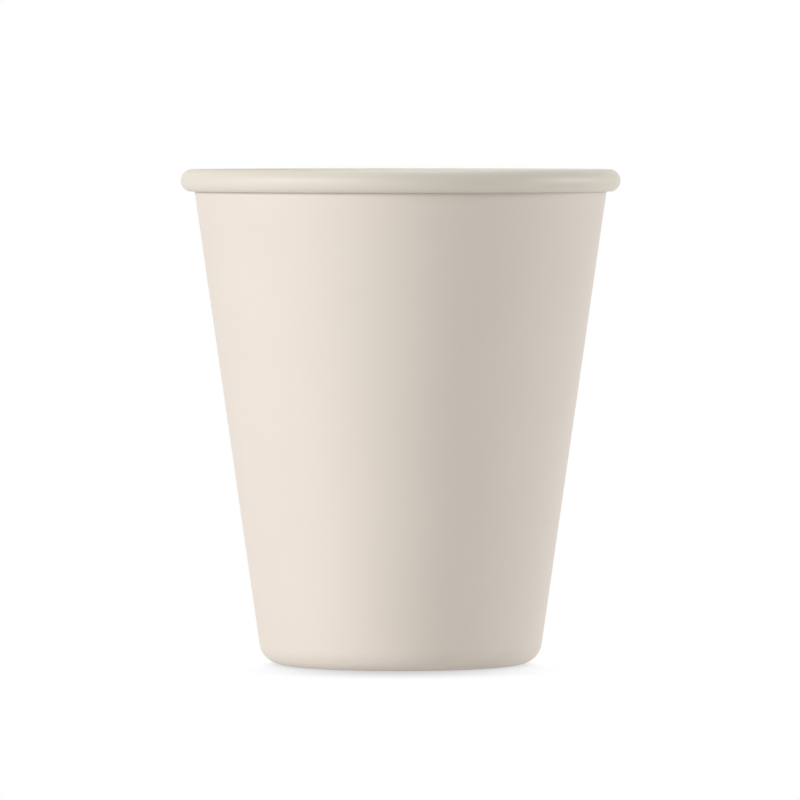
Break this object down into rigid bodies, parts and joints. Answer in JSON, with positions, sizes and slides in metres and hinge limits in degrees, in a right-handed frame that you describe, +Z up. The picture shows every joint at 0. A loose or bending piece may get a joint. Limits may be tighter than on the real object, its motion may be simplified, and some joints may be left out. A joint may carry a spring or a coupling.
{
  "type": "reusable plastic cup",
  "caption": "Tapered drinking cup of plain matt plastic, open at the top, with a rolled lip, a rounded bottom corner and a raised base inside a ring-shaped foot.",
  "frame": {"origin": "centre of the ring foot, on the surface that the cup stands on", "axes": "+Z up along the cup's own axis, out of its mouth; X and Y are alike, because the cup is round"},
  "size_m": [0.08, 0.08, 0.09],
  "materials": {
    "cream_plastic": "fine matt moulded skin, warm cream, coloured all through"
  },
  "bodies": {
    "root": {"cup": "cream_plastic"}
  },
  "joints": []
}
